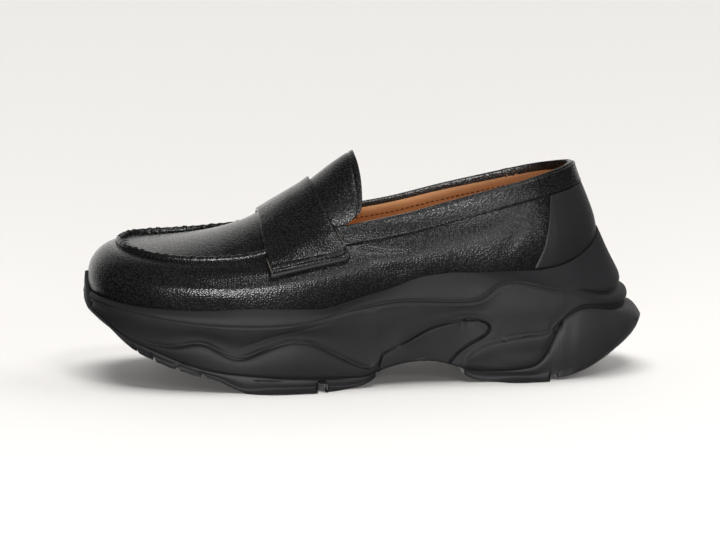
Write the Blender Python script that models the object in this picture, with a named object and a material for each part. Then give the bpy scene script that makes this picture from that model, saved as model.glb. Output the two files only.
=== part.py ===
"""A left slip-on loafer with a moccasin apron, a saddle strap and a standing tongue, on a thick sole whose
side wall is moulded in waves.

The shoe stands empty on its sole. Its toe points along -X, its outer side faces -Y and +Z is up. The tables are
in millimetres, measured from the toe tip along the shoe (station length), from the heel-to-toe axis (minus is the
outer side) and from the floor. MM turns them into the metres of the scene.
"""

import math

import bmesh
import bpy
import numpy as np
from mathutils import Vector
from mathutils.bvhtree import BVHTree

MM = 0.001

# Driving sizes.
ORIGIN = (160.65, -2.2, 0.0)
LEATHER_WALL = 2.4
SLIP_GAP = 0.3
OVERLAY_GAP = 0.4
STRAP_GAP = 0.65
CUP_GAP = 0.35
INSOLE_THICKNESS = 3.6
SOLE_LEDGE = 2.2
FEATHER_INSET = 5.0
SEAM_HEIGHT = 2.9
SEAM_WIDTH = 2.4
COLLAR_ROLL = 0.5
TOE_GUARD_THICKNESS = 2.6
HEEL_CUP_THICKNESS = 4.4
HEEL = 17
THROAT = 7.5
BAND_START = (8.58, 8.38)
BAND_HEIGHT = 11.0
BAND_THICKNESS = 1.1
COUNTER_THICKNESS = 0.9
COUNTER_FOOT = 13.09
COUNTER_HEAD = 13.92
STRAP_THICKNESS = 1.9
FRONT_TREAD_END = 8.76
HEEL_TREAD_START = 10.88

# The sections are numbered from 0 at the toe tip to 17 at the middle of the heel. Each has one point on the outer
# side and one on the inner side; fractions lie between sections.
SOLE_PLAN = (
    # length, outer side, inner side
    (0, 4, 4),
    (2.5, -16, 23),
    (9.5, -31, 35.5),
    (22, -43, 43.5),
    (42, -52, 50),
    (66, -57.5, 54),
    (92, -60, 56),
    (118, -59, 54.5),
    (144, -55, 50),
    (168, -50.5, 46),
    (192, -47.5, 43.5),
    (216, -46, 43),
    (240, -46, 43.5),
    (262, -45, 43.5),
    (281, -41, 40.5),
    (296, -32.5, 32.5),
    (307, -19, 19),
    (312, 0, 0),
)

UPPER_BELLY = (
    # length, outer side, inner side, height of the widest place
    (3.05, 3, 3, 57),
    (5.2, -14, 20, 57),
    (12, -28, 32, 56.5),
    (24, -39, 40, 56.5),
    (42, -47.2, 46, 55.5),
    (66, -52, 49.5, 55.5),
    (92, -54, 51, 56),
    (118, -52.5, 49.5, 57),
    (143, -48.5, 45.5, 60),
    (166, -44, 41.5, 64),
    (189, -40.8, 38.5, 68),
    (211, -38.3, 36.3, 70),
    (232, -36.5, 35.3, 71),
    (252, -34.3, 33.6, 72),
    (269.5, -29.5, 29.3, 73),
    (282.2, -20.5, 20.5, 75),
    (290.8, -10.5, 10.5, 76),
    (293.6, 0, 0, 77),
)

# The upper edge of the side walls: the apron seam as far as the throat, and the collar behind it.
UPPER_EDGE = (
    # length, outer side, inner side, height outside, height inside
    (19.5, 2, 2, 75.5, 75.5),
    (22.5, -12, 16, 74.5, 75.8),
    (29.5, -22.5, 25, 73, 76),
    (41, -31, 29.5, 71.3, 76),
    (55, -35.5, 31.5, 70.2, 76.2),
    (72, -38, 32.5, 70, 77),
    (92, -39, 33, 71.5, 79),
    (112, -38.5, 33.5, 76.5, 82.5),
    (133, -36.5, 33, 84.5, 86.5),
    (156, -33.5, 31.5, 89.8, 91),
    (180, -32, 31, 94.2, 95.2),
    (204, -30.5, 30, 100, 101),
    (228, -29, 28.5, 105.8, 106.3),
    (248, -26.5, 26, 110.5, 110.8),
    (263, -21.5, 21.5, 114.2, 114.2),
    (273, -14.5, 14.5, 116.4, 116.4),
    (278.5, -7.2, 7.2, 117.9, 117.9),
    (280.5, 0, 0, 118.4, 118.4),
)

# How full the wall is between its belly and its upper edge: the share of the height that it rises upright, the
# share of the width that it runs level below the edge, and the share of the height that it drops there.
WALL_FULLNESS = (
    # section, upright, level, drop
    (0, 0.56, 0.48, 0.0),
    (2, 0.54, 0.48, 0.04),
    (5, 0.48, 0.42, 0.12),
    (7, 0.45, 0.35, 0.22),
    (9, 0.38, 0.15, 0.32),
    (14, 0.36, 0.15, 0.35),
    (17, 0.32, 0.32, 0.36),
)

FOOTBED_HEIGHT = (
    # section, height
    (0, 41.5),
    (2, 40),
    (3, 37.5),
    (4, 35),
    (5, 32.8),
    (6, 31.8),
    (7, 32.4),
    (8, 35),
    (9, 39),
    (10, 43),
    (11, 46),
    (12, 47.5),
    (14, 48.5),
    (17, 48.5),
)

# Lines that run round the side wall of the sole, each as the height at a section.
SOLE_TOP = (
    (0, 50.3),
    (1, 50.3),
    (2, 49.2),
    (3, 47.3),
    (4, 46),
    (5, 45.4),
    (6, 46.5),
    (7, 45.4),
    (7.6, 45),
    (8.2, 48.6),
    (8.8, 52.2),
    (9.2, 54.3),
    (9.6, 58.2),
    (10, 60.5),
    (10.8, 62.1),
    (11.6, 61.6),
    (13, 61.6),
    (13.8, 62.9),
    (14.3, 64.6),
    (14.9, 67.5),
    (15.5, 70.8),
    (16, 74.5),
    (16.6, 79),
    (17, 80.7),
)

RIDGE_LINE = (
    (0, 47.6),
    (1, 47.4),
    (2, 46),
    (3, 44.2),
    (3.45, 42.9),
    (4.5, 39.3),
    (5.5, 36.8),
    (6.2, 36.2),
    (6.95, 37.2),
    (7.55, 40.2),
    (8.1, 44.2),
    (9.2, 48),
    (9.75, 48.1),
    (10.8, 46.9),
    (11.1, 47.4),
    (11.3, 48.9),
    (11.6, 54.4),
    (11.85, 56.6),
    (12.1, 57),
    (12.5, 55.6),
    (13, 52.9),
    (13.6, 50.9),
    (14.1, 50),
    (14.75, 47.8),
    (15.3, 46.8),
    (16.2, 48),
    (17, 50),
)

WAVE_LINE = (
    (0, 45.5),
    (1, 44.6),
    (1.9, 41.2),
    (2.95, 32.4),
    (3.65, 27.4),
    (4.3, 25.7),
    (4.7, 27.4),
    (5.03, 27.1),
    (5.3, 23.5),
    (5.57, 19.8),
    (5.83, 19.4),
    (6.2, 23),
    (6.75, 27.6),
    (7.1, 27.4),
    (7.35, 25.9),
    (7.75, 20.6),
    (8.12, 15.6),
    (8.45, 12.2),
    (8.74, 11.6),
    (8.95, 17.8),
    (9.5, 24),
    (10.03, 30.6),
    (10.57, 34.5),
    (11, 35.7),
    (11.25, 34.9),
    (11.42, 31.5),
    (11.58, 25.4),
    (11.8, 24.4),
    (12.3, 26),
    (12.8, 28),
    (13.1, 32.5),
    (13.4, 38.2),
    (14, 43.2),
    (14.75, 42.6),
    (15.3, 41.4),
    (16.2, 41.5),
    (17, 43.2),
)

# The lower edge of the midsole: the top of the front tread, the arch, and the top of the heel cup.
TREAD_LINE = (
    (0, 44),
    (0.5, 44),
    (1, 43),
    (2, 38.6),
    (2.6, 33.4),
    (3.2, 27.6),
    (3.77, 23.4),
    (4.3, 18.2),
    (4.9, 13.4),
    (5.5, 10.5),
    (5.85, 9.6),
    (7.1, 6.6),
    (8.5, 6.2),
    (8.8, 9),
    (9.36, 12.6),
    (9.64, 13.7),
    (10, 13.9),
    (10.3, 12.8),
    (10.55, 11.6),
    (10.95, 7.6),
    (11.35, 6.4),
    (11.85, 6.6),
    (12.35, 7.2),
    (12.62, 9.6),
    (12.83, 14),
    (12.97, 20),
    (13.08, 26.2),
    (13.2, 31),
    (13.4, 35.1),
    (13.65, 37.9),
    (14.05, 40.2),
    (14.65, 39.2),
    (15.35, 37),
    (16, 36.6),
    (17, 38),
)

# The midsole's hidden core, which stands in the treads: height of its lower edge.
CORE_LINE = (
    (0, 46.5),
    (0.25, 46.2),
    (0.5, 45.4),
    (0.85, 43.3),
    (1.05, 41.7),
    (1.3, 39.8),
    (1.65, 38.5),
    (1.8, 37.9),
    (2.25, 35.2),
    (2.7, 30.8),
    (3.2, 26.8),
    (3.7, 22.3),
    (4.3, 17.3),
    (4.9, 12.6),
    (5.6, 8.4),
    (6.2, 6.4),
    (7.1, 5.6),
    (8.5, 5.4),
    (8.8, 8),
    (9.36, 11.6),
    (9.64, 12.7),
    (10, 12.9),
    (10.3, 11.8),
    (10.55, 10.6),
    (10.95, 6.8),
    (11.35, 5.6),
    (12.4, 6),
    (13, 7),
    (14, 9),
    (15, 12),
    (16, 15),
    (17, 17),
)

# How far the side wall stands outside the sole's plan, at each of its lines, and how far the wall above the
# ridge stands out from the straight way to the rim.
SIDE_RELIEF = (
    # section, lower edge, lower belly, under the wave line, wave line, wall above it, ridge, shoulder
    (0, -3.2, -3.2, -3.2, -3.2, -3.2, -3.0, 0.2),
    (1.05, -3.2, -3.2, -3.2, -3.2, -2.8, -1.6, -0.2),
    (1.3, -1.4, -1.0, -1.0, -1.2, -0.7, -0.8, -0.5),
    (2, -1.3, -0.9, -0.8, -1.4, -0.4, -0.5, -0.7),
    (3, -1.4, -0.9, -0.7, -1.8, -0.8, 0.0, -0.7),
    (4, -1.2, -0.4, -0.9, -2.2, -1.4, 0.0, -0.7),
    (4.7, -1.0, 0.6, -0.2, -1.8, -1.4, 0.0, -0.7),
    (5.7, -1.0, -0.4, -1.2, -2.8, -2.2, 0.0, -0.7),
    (6.9, -0.8, 1.3, 0.1, -1.8, -1.4, 0.0, -0.7),
    (7.8, -0.8, 0.2, -0.8, -2.2, -1.6, 0.0, -0.5),
    (8.6, -1.5, -1.2, -1.4, -2.0, -1.0, 0.0, -0.4),
    (8.85, -3.0, -2.8, -2.8, -1.2, -0.6, 0.0, -0.4),
    (10, -3.2, -2.6, -2.6, -0.9, -0.5, 0.0, -0.4),
    (10.8, -3.0, -2.6, -2.6, -0.8, -0.4, 0.0, -0.4),
    (11.3, -1.8, -2.4, -2.6, -0.8, -0.2, 0.0, -0.2),
    (11.5, -1.2, -0.6, -1.0, -1.4, 0.0, -0.4, 0.0),
    (12.3, -0.9, 0.9, 0.2, -1.2, 0.6, -1.0, 0.3),
    (13.1, -0.8, -0.4, 0.2, -0.2, 0.6, -1.3, 0.6),
    (14, -0.8, -0.6, 0.4, 0.8, 0.3, -2.4, 1.4),
    (15, -0.8, -0.4, 0.5, 0.9, 0.2, -3.6, 2.0),
    (16, -0.8, -0.2, 0.5, 0.9, 0.2, -4.4, 2.4),
    (17, -0.8, 0.0, 0.5, 0.9, 0.3, -4.8, 2.6),
)

# The treads, outside the plan and above the floor: the lower rim and the turn into the underside.
TREAD_RIM = (
    # section, rim out, rim height, belly out, underside in, underside height
    (0, -1.0, 48, 0.0, -7.5, 36),
    (0.5, -1.0, 43.5, 0.0, -8.0, 34.5),
    (1, -1.2, 40.4, -0.2, -8.5, 33.2),
    (2, -1.6, 36.3, -0.3, -8.5, 30.4),
    (3, -1.8, 26.6, -0.5, -8.0, 21.8),
    (4, -1.8, 17.4, -0.6, -7.5, 13.4),
    (5, -1.6, 9.6, -0.6, -6.0, 7.2),
    (5.55, -1.4, 5.4, -0.5, -4.5, 3.9),
    (5.68, -1.4, 4.8, -0.5, -4.4, 3.4),
    (5.76, -1.2, 1.2, -0.4, -3.2, 0),
    (7.1, -1.2, 1.2, -0.4, -3.2, 0),
    (8.15, -1.2, 1.2, -0.6, -3.2, 0),
    (8.5, -1.6, 2.8, -1.0, -3.6, 1.8),
    (8.8, -2.2, 6.8, -1.6, -4.2, 5.6),
    (10.8, -3.0, 6.0, -2.0, -5.0, 4.6),
    (11.05, -2.6, 3.0, -1.4, -5.0, 1.6),
    (11.4, -2.2, 1.2, -1.0, -4.6, 0),
    (12.6, -1.8, 1.2, -0.2, -4.4, 0),
    (13.3, -1.6, 2.4, 1.6, -6.0, 1.0),
    (14, -1.4, 5.8, 2.8, -8.0, 3.6),
    (15, -0.6, 11.2, 4.8, -10.5, 6.0),
    (16, 1.8, 17, 7.4, -12.0, 8.6),
    (17, 3.4, 20.4, 9.3, -12.5, 10.4),
)

# Grooves that part the lugs, across the treads: where each starts and ends, and its depth.
TREAD_GROOVES = (
    # front edge, rear edge, depth
    (3.2, 3.28, 1.4),
    (3.7, 3.78, 1.4),
    (4.3, 4.39, 1.4),
    (4.9, 4.99, 1.4),
    (7.42, 7.6, 4.4),
    (12.98, 13.2, 2.6),
)
GROOVE_FLANK = 0.03

# The rear of the heel cup: height of its furthest reach.
CUP_BELLY_HEIGHT = (
    (10.8, 7.4),
    (12.4, 4.6),
    (12.8, 8),
    (13.3, 18),
    (14, 24),
    (15, 26.5),
    (16, 28.5),
    (17, 30),
)

# The crown of the apron above the chord between its seams.
APRON_CROWN = (
    (0, 0),
    (1, 0.8),
    (2, 1.6),
    (3, 2.8),
    (4, 4.4),
    (5, 7),
    (6, 11.6),
    (7, 19.3),
    (7.5, 22.6),
)

# The toe guard: the front tread's top edge where it climbs over the toe.
TOE_GUARD_TOP = (
    (0, 61.3),
    (0.25, 55.5),
    (0.5, 50.4),
    (0.85, 45.2),
    (1.05, 42.4),
)

SEAM_FADE = (
    (0, 1.0),
    (6.35, 1.0),
    (6.9, 0.15),
    (7.5, 0.1),
)

# The tongue: an arch across the instep that runs on from the apron.
TONGUE_LENGTHS = (123.5, 130, 137, 144, 150.5, 156.5)
TONGUE_ARCH = (
    # length, half width, foot height, crest height
    (122, 31.3, 77, 104.2),
    (130, 30.8, 79.5, 110.6),
    (140, 30.0, 82.5, 118.4),
    (150, 29.0, 84.5, 125.2),
    (158, 28.2, 86.5, 129.4),
)
TONGUE_SWEEP = (
    # across from the crest (0) to the foot (1), length of the rear edge
    (0.0, 153.8),
    (0.14, 154.0),
    (0.38, 155.6),
    (0.64, 156.8),
    (0.8, 156.2),
    (0.92, 151.5),
    (1.0, 145.5),
)
TONGUE_POWER = 1.8
TONGUE_CENTRE = -1.7

# The saddle strap, by its place on the girth from the outer end (0) over the instep to the inner end (1). The
# angles are from straight up towards the inner side, round an axis that runs along the shoe.
STRAP_AXIS = (-1.5, 62.0)
STRAP_GIRTH = (
    # place, angle at the front edge, angle at the rear edge, front edge, rear edge
    (0.0, -88.5, -78.5, 103.2, 146.5),
    (0.03, -86, -75.5, 102.9, 148),
    (0.08, -81, -70, 102.3, 146.5),
    (0.18, -68, -60, 101.2, 142.5),
    (0.30, -48, -45, 100.2, 137),
    (0.42, -20, -20, 99.8, 131),
    (0.5, 0, 0, 99.8, 128.4),
    (0.58, 20, 20, 99.8, 131),
    (0.70, 48, 45, 100.2, 137),
    (0.82, 68, 60, 101.2, 142.5),
    (0.92, 81, 70, 102.3, 146.5),
    (0.97, 86, 75.5, 102.9, 148),
    (1.0, 88.5, 78.5, 103.2, 146.5),
)

MATERIALS = {
    # colour, roughness
    "leather": ((0.012, 0.012, 0.013), 0.42),
    "smooth_leather": ((0.014, 0.014, 0.015), 0.45),
    "rubber": ((0.018, 0.018, 0.019), 0.6),
    "tread_rubber": ((0.015, 0.015, 0.016), 0.65),
    "tan_leather": ((0.42, 0.22, 0.11), 0.55),
}


def smooth_table(table, at, column=1):
    """The column's value at a place in the table, on a curve that never overshoots its rows."""
    x = [row[0] for row in table]
    y = [row[column] for row in table]
    at = min(max(at, x[0]), x[-1])
    slopes = [(y[i + 1] - y[i]) / (x[i + 1] - x[i]) for i in range(len(x) - 1)]
    i = min(int(np.searchsorted(x, at, side="right")) - 1, len(x) - 2)

    def tangent(k):
        if k in (0, len(x) - 1):
            return slopes[min(k, len(slopes) - 1)]
        before, after = slopes[k - 1], slopes[k]
        return 0.0 if before * after <= 0 else 2 * before * after / (before + after)

    width = x[i + 1] - x[i]
    t = (at - x[i]) / width
    rise = (
        (2 * t**3 - 3 * t**2 + 1) * y[i]
        + (t**3 - 2 * t**2 + t) * width * tangent(i)
        + (3 * t**2 - 2 * t**3) * y[i + 1]
        + (t**3 - t**2) * width * tangent(i + 1)
    )
    return rise


class Loop:
    """A closed smooth curve through one point a section: out along the outer side, back along the inner side."""

    def __init__(self, outer, inner):
        self.points = np.array(list(outer) + list(inner)[-2:0:-1], float)
        count = len(self.points)
        matrix = np.zeros((count, count))
        right = np.zeros_like(self.points)
        for i in range(count):
            matrix[i, i] = 4
            matrix[i, (i - 1) % count] = matrix[i, (i + 1) % count] = 1
            right[i] = 3 * (self.points[(i + 1) % count] - self.points[(i - 1) % count])
        self.tangents = np.linalg.solve(matrix, right)

    def at(self, place):
        count = len(self.points)
        i = int(math.floor(place)) % count
        t = place - math.floor(place)
        a, b = self.points[i], self.points[(i + 1) % count]
        u, v = self.tangents[i], self.tangents[(i + 1) % count]
        return (
            (2 * t**3 - 3 * t**2 + 1) * a
            + (t**3 - 2 * t**2 + t) * u
            + (3 * t**2 - 2 * t**3) * b
            + (t**3 - t**2) * v
        )

    def direction(self, place, step=0.02):
        return self.at(place + step) - self.at(place - step)


def flat_loop(table):
    return Loop([(r[0], r[1], 0) for r in table], [(r[0], r[2], 0) for r in table])


PLAN = flat_loop(SOLE_PLAN)
BELLY = Loop([(r[0], r[1], r[3]) for r in UPPER_BELLY], [(r[0], r[2], r[3]) for r in UPPER_BELLY])
EDGE = Loop([(r[0], r[1], r[3]) for r in UPPER_EDGE], [(r[0], r[2], r[4]) for r in UPPER_EDGE])
ROUND = 2 * HEEL


def section_of(place):
    """The section number of a place on a loop, on either side."""
    return round(min(place, ROUND - place), 4)


def outward(loop, place):
    """The level direction out of a loop at a place."""
    along = loop.direction(place)
    flat = np.array([along[1], -along[0], 0.0])
    return flat / np.linalg.norm(flat)


def bezier(a, b, c, d, t):
    return (1 - t) ** 3 * a + 3 * (1 - t) ** 2 * t * b + 3 * (1 - t) * t**2 * c + t**3 * d


def wall_point(place, share):
    """A point on the outside of the upper: share 0 at the feather edge, 1 at the belly and 2 at the upper edge."""
    section = section_of(place)
    belly = BELLY.at(place)
    out = outward(BELLY, place)
    if share <= 1:
        foot = belly - out * FEATHER_INSET
        foot[2] = smooth_table(FOOTBED_HEIGHT, section) + SLIP_GAP
        height = np.array([0, 0, belly[2] - foot[2]])
        return bezier(foot, foot + out * 0.5 * FEATHER_INSET + 0.15 * height, belly - 0.45 * height, belly, share)
    edge = EDGE.at(place)
    height = np.array([0, 0, edge[2] - belly[2]])
    level = np.array([belly[0] - edge[0], belly[1] - edge[1], 0])
    upright, run, drop = (smooth_table(WALL_FULLNESS, section, c) for c in (1, 2, 3))
    return bezier(belly, belly + upright * height, edge + run * level - drop * height, edge, share - 1)


def wall_normal(place, share):
    """The direction out of the upper's wall."""
    step = 0.02
    around = wall_point(place + step, share) - wall_point(place - step, share)
    low, high = max(share - step, 0), min(share + step, 2)
    up = wall_point(place, high) - wall_point(place, low)
    normal = np.cross(around, up)
    normal /= np.linalg.norm(normal)
    return normal if normal @ outward(BELLY, place) > 0 else -normal


def wall_share_at(place, height):
    """The share at which the wall reaches a height."""
    low, high = 0.0, 2.0
    for _ in range(30):
        middle = (low + high) / 2
        if wall_point(place, middle)[2] < height:
            low = middle
        else:
            high = middle
    return (low + high) / 2


def off_wall(place, share, distance):
    return wall_point(place, share) + wall_normal(place, share) * distance


def section_numbers(first, last, steps):
    """Section numbers from first to last, with closer ones where the heel cup's edge climbs."""
    numbers = list(np.linspace(first, last, steps + 1))
    if first < 12.5 < last:
        numbers += [12.75, 12.9, 13.03, 13.14, 13.27]
    return sorted(set(round(float(n), 4) for n in numbers))


def sole_sections(first=0, last=HEEL):
    """The section numbers that the midsole and the treads share, between two of them."""
    toe = [0.25, 0.5, 0.85, 1.05, 1.3, 1.65]
    rest = [n for n in section_numbers(0, HEEL, 38) if n > toe[-1]]
    shared = toe + rest + [FRONT_TREAD_END, HEEL_TREAD_START]
    return sorted({first, last, *[n for n in shared if first < n < last]})


def around(numbers):
    """Places once round the shoe for section numbers that run from toe to heel."""
    return list(numbers) + [ROUND - n for n in numbers[-2:0:-1]]


def ladder(outer_row, inner_row, rungs, lift=None):
    """Rungs from each point of one side to its partner on the other side; lift bends a rung upwards."""
    grid = []
    for index, (a, b) in enumerate(zip(outer_row, inner_row)):
        rung = []
        for step in range(rungs + 1):
            t = step / rungs
            point = np.array(a) * (1 - t) + np.array(b) * t
            if lift:
                point[2] += lift(index, 2 * t - 1)
            rung.append(point)
        grid.append(rung)
    return grid


def halves(row, numbers):
    """A row once round the shoe as its outer half and its inner half, both from toe to heel."""
    count = len(numbers)
    inner = [row[0]] + row[:count - 2:-1]
    return row[:count], inner


def add_solid(name, grids, material, merge=0.002):
    """One closed mesh object from grids of points that meet along their edges."""
    mesh = bmesh.new()
    for grid in grids:
        verts = [[mesh.verts.new((np.array(p) - ORIGIN) * MM) for p in row] for row in grid]
        for a, b in zip(verts, verts[1:]):
            for i in range(len(a) - 1):
                corners = (a[i], a[i + 1], b[i + 1], b[i])
                mesh.faces.new(corners)
    bmesh.ops.remove_doubles(mesh, verts=mesh.verts, dist=merge * MM)
    bmesh.ops.dissolve_degenerate(mesh, edges=mesh.edges, dist=merge * MM)
    bmesh.ops.recalc_face_normals(mesh, faces=mesh.faces)
    if mesh.calc_volume(signed=True) < 0:
        bmesh.ops.reverse_faces(mesh, faces=mesh.faces)
    data = bpy.data.meshes.new(name)
    mesh.to_mesh(data)
    mesh.free()
    data.shade_smooth()
    data.set_sharp_from_angle(angle=math.radians(40))
    obj = bpy.data.objects.new(name, data)
    bpy.context.scene.collection.objects.link(obj)
    data.materials.append(material)
    return obj


def make_material(name):
    colour, roughness = MATERIALS[name]
    material = bpy.data.materials.new(name)
    material.use_nodes = True
    shader = material.node_tree.nodes["Principled BSDF"]
    shader.inputs["Base Color"].default_value = (*colour, 1)
    shader.inputs["Roughness"].default_value = roughness
    shader.inputs["Metallic"].default_value = 0.0
    return material


def sole_offset(place, distance, height):
    """A point that stands a distance outside the sole's plan, at a height."""
    point = PLAN.at(place) + outward(PLAN, place) * distance
    point[2] = height
    return point


def ledge_point(place):
    """The outer rim of the sole's top, just outside the upper."""
    section = section_of(place)
    share = wall_share_at(place, smooth_table(SOLE_TOP, section))
    point = off_wall(place, share, CUP_GAP + SOLE_LEDGE)
    point[2] = smooth_table(SOLE_TOP, section) - 0.6
    return point


def core_inset(section):
    """How far inside the plan the midsole's core stands, which leaves room for the tread's wall."""
    if section >= HEEL_TREAD_START:
        return HEEL_CUP_THICKNESS + SLIP_GAP + 0.3
    return TOE_GUARD_THICKNESS + SLIP_GAP + 0.3


def stand_behind_guard(place, points):
    """Spaces the wall's points evenly in height and keeps them all inside the toe guard."""
    bottom, ledge = points[0][2], points[-2][2]
    steps = len(points) - 2
    for k, point in enumerate(points):
        if 0 < k < steps:
            point[2] = bottom + (ledge - bottom) * k / steps
        out = outward(PLAN, place)
        distance = float(np.dot((point - PLAN.at(place))[:2], out[:2]))
        point[:2] += out[:2] * min(0.0, -(TOE_GUARD_THICKNESS + SLIP_GAP) - distance)


def midsole_wall(place):
    """The midsole's section on one side, from the core's lower edge up to the footbed's edge."""
    n = section_of(place)
    tread, wave, ridge = (smooth_table(t, n) for t in (TREAD_LINE, WAVE_LINE, RIDGE_LINE))
    wave = max(wave, tread + 2.2)
    ridge = max(ridge, wave + 2.6)
    lip, belly, under, groove, above, crest, shoulder = (smooth_table(SIDE_RELIEF, n, c) for c in range(1, 8))
    core = smooth_table(CORE_LINE, n)
    inset = -core_inset(n)
    ledge = ledge_point(place)
    top = smooth_table(SOLE_TOP, n)
    points = [
        sole_offset(place, inset, core),
        sole_offset(place, inset, tread),
        sole_offset(place, lip, tread),
        sole_offset(place, belly, 0.45 * tread + 0.55 * wave),
        sole_offset(place, under, wave - 0.9),
        sole_offset(place, groove, wave + 0.3),
        sole_offset(place, above - 0.3, wave + 0.35 * (ridge - wave) + 0.5),
        sole_offset(place, 0.4 * above + 0.6 * crest + 0.3, wave + 0.72 * (ridge - wave)),
        sole_offset(place, crest, ridge),
    ]
    ridge_point = points[-1]
    points.append(ridge_point + (ledge - ridge_point) * 0.14 + outward(PLAN, place) * shoulder)
    points.append(ridge_point * 0.45 + ledge * 0.55 + outward(PLAN, place) * max(0.4, 0.35 * shoulder))
    points.append(ledge)
    share = wall_share_at(place, top)
    rim = off_wall(place, share, CUP_GAP + 0.6 * SOLE_LEDGE)
    rim[2] = top
    points.append(rim)
    if n < 1:
        stand_behind_guard(place, points)
    for part in (1.0, 0.66, 0.33, 0.0):
        point = off_wall(place, share * part, CUP_GAP)
        if part == 0.0:
            point[2] -= SLIP_GAP
        points.append(point)
    return points


def build_midsole(material):
    numbers = sole_sections()
    walls = [midsole_wall(p) for p in around(numbers)]
    walls.append(walls[0])
    rows = list(map(list, zip(*walls)))
    grids = [rows]
    for row in (rows[0], rows[-1]):
        outer, inner = halves(row[:-1], numbers)
        grids.append(ladder(outer, inner, 2))
    return add_solid("midsole", grids, material)


def shared_height(table, n):
    """A line's height at a section, straight between the sections that the midsole has too."""
    shared = sole_sections()
    return float(np.interp(n, shared, [smooth_table(table, k) for k in shared]))


def groove_depth(n):
    """How deep a groove between lugs is at a section."""
    for front, rear, depth in TREAD_GROOVES:
        if front <= n <= rear:
            return depth
    return 0.0


def tread_sections(first, last):
    """The sections of a tread: the shared ones, and both edges and both walls of each groove."""
    edges = []
    for front, rear, _ in TREAD_GROOVES:
        edges += [front - GROOVE_FLANK, front, rear, rear + GROOVE_FLANK]
    return sorted({*sole_sections(first, last), *[round(n, 4) for n in edges if first < n < last]})


def tread_wall(place, top, thickness, belly_height=None):
    """A tread's section on one side: inner top edge, outer top edge, belly, rim and turn into the underside."""
    n = section_of(place)
    rim_out, rim, belly_out, under_in, under = (smooth_table(TREAD_RIM, n, c) for c in (1, 2, 3, 4, 5))
    rim = min(rim + groove_depth(n), top - 1.0)
    under += groove_depth(n)
    belly = 0.5 * (top + rim) if belly_height is None else belly_height
    return [
        sole_offset(place, -thickness, top),
        sole_offset(place, belly_out * 0.4 - 0.5, top),
        sole_offset(place, belly_out, max(min(belly, top - 0.8), rim + 0.3)),
        sole_offset(place, rim_out, rim),
        sole_offset(place, under_in, under),
    ]


def tread_solid(name, numbers, tops, thickness, material, closed_toe, belly=None):
    """A tread with a wall round its outside and a flat floor for the midsole's core."""
    sections = []
    for n in numbers:
        floor = shared_height(CORE_LINE, n) - SLIP_GAP
        top = max(tops(n), floor + 0.4)
        sides = []
        for place in (n, ROUND - n):
            wall = tread_wall(place, top, thickness, belly(n) if belly else None)
            inner = wall[0].copy()
            inner[2] = floor
            sides.append([inner, *wall])
        outer, inner = sides
        under_z = smooth_table(TREAD_RIM, n, 5) + groove_depth(n)
        underside = ladder([outer[-1]], [inner[-1]], 2)[0]
        inside = ladder([inner[0]], [outer[0]], 2)[0]
        for point in underside:
            point[2] = under_z
        sections.append(outer + underside[1:-1] + inner[::-1] + inside[1:])
    grids = [sections]
    ends = [sections[-1]] if closed_toe else [sections[0], sections[-1]]
    obj = add_solid(name, grids, material)
    close_ends(obj, ends)
    return obj


def close_ends(obj, ends):
    """Fills the open ends of a tread with flat faces and turns all faces outwards."""
    mesh = bmesh.new()
    mesh.from_mesh(obj.data)
    open_edges = [e for e in mesh.edges if e.is_boundary]
    bmesh.ops.holes_fill(mesh, edges=open_edges, sides=0)
    bmesh.ops.triangulate(mesh, faces=[f for f in mesh.faces if len(f.verts) > 4])
    bmesh.ops.recalc_face_normals(mesh, faces=mesh.faces)
    if mesh.calc_volume(signed=True) < 0:
        bmesh.ops.reverse_faces(mesh, faces=mesh.faces)
    mesh.to_mesh(obj.data)
    mesh.free()


def front_tread_top(n):
    """The top edge of the front tread: it climbs over the toe as a pointed guard."""
    if n < TOE_GUARD_TOP[-1][0]:
        return smooth_table(TOE_GUARD_TOP, n)
    return shared_height(TREAD_LINE, n) - SLIP_GAP


def build_front_tread(material):
    numbers = tread_sections(0, FRONT_TREAD_END)
    thickness = TOE_GUARD_THICKNESS
    return tread_solid("outsole_front", numbers, front_tread_top, thickness, material, True)


def heel_tread_top(n):
    return shared_height(TREAD_LINE, n) - SLIP_GAP


def build_heel_tread(material):
    numbers = tread_sections(HEEL_TREAD_START, HEEL)[::-1]
    return tread_solid(
        "outsole_heel",
        numbers,
        heel_tread_top,
        HEEL_CUP_THICKNESS,
        material,
        True,
        belly=lambda n: smooth_table(CUP_BELLY_HEIGHT, n),
    )


def apron_rows(numbers):
    """The apron's outer surface between the inner feet of its seam."""
    outer, inner, crowns = [], [], []
    for n in numbers:
        for row, place in ((outer, n), (inner, ROUND - n)):
            row.append(EDGE.at(place) - outward(EDGE, place) * SEAM_WIDTH)
        crowns.append(smooth_table(APRON_CROWN, n))
    return ladder(outer, inner, 8, lambda i, v: crowns[i] * (1 - abs(v) ** 2.1))


def grid_normals(grid):
    """Unit normals of an open grid, turned upwards."""
    points = np.array(grid)
    rows = np.gradient(points, axis=0)
    columns = np.gradient(points, axis=1)
    normals = np.cross(rows, columns)
    lengths = np.linalg.norm(normals, axis=2, keepdims=True)
    normals = np.where(lengths > 1e-9, normals / np.maximum(lengths, 1e-9), (0, 0, 1))
    return np.where(normals[..., 2:] < 0, -normals, normals)


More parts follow.
